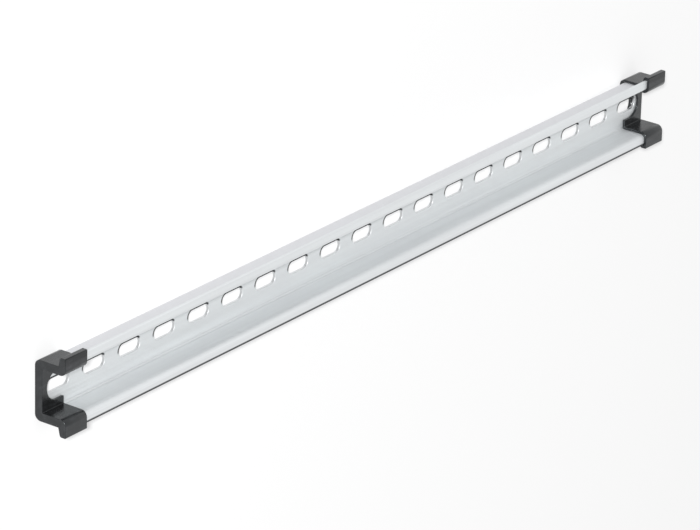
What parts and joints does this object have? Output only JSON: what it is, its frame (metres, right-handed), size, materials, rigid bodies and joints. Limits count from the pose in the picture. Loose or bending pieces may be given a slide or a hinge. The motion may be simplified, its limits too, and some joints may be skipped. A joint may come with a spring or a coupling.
{
  "type": "din rail",
  "caption": "Slotted 35 x 15 mm top-hat mounting rail of sheet steel, with a black moulded cap closing each end.",
  "frame": {"origin": "on the floor, under the middle of the rail", "axes": "+X along the rail, +Y across it, +Z out of the open side; the rail lies on the backs of its two caps"},
  "size_m": [0.475, 0.0386, 0.0178],
  "materials": {
    "rail_metal": "zinc-plated and passivated, pale grey, satin, with fine rolling lines along its length",
    "cap_plastic": "black moulded plastic, fine satin texture"
  },
  "bodies": {
    "root": {"rail": "rail_metal", "end_cap_left": "cap_plastic", "end_cap_right": "cap_plastic"}
  },
  "joints": []
}
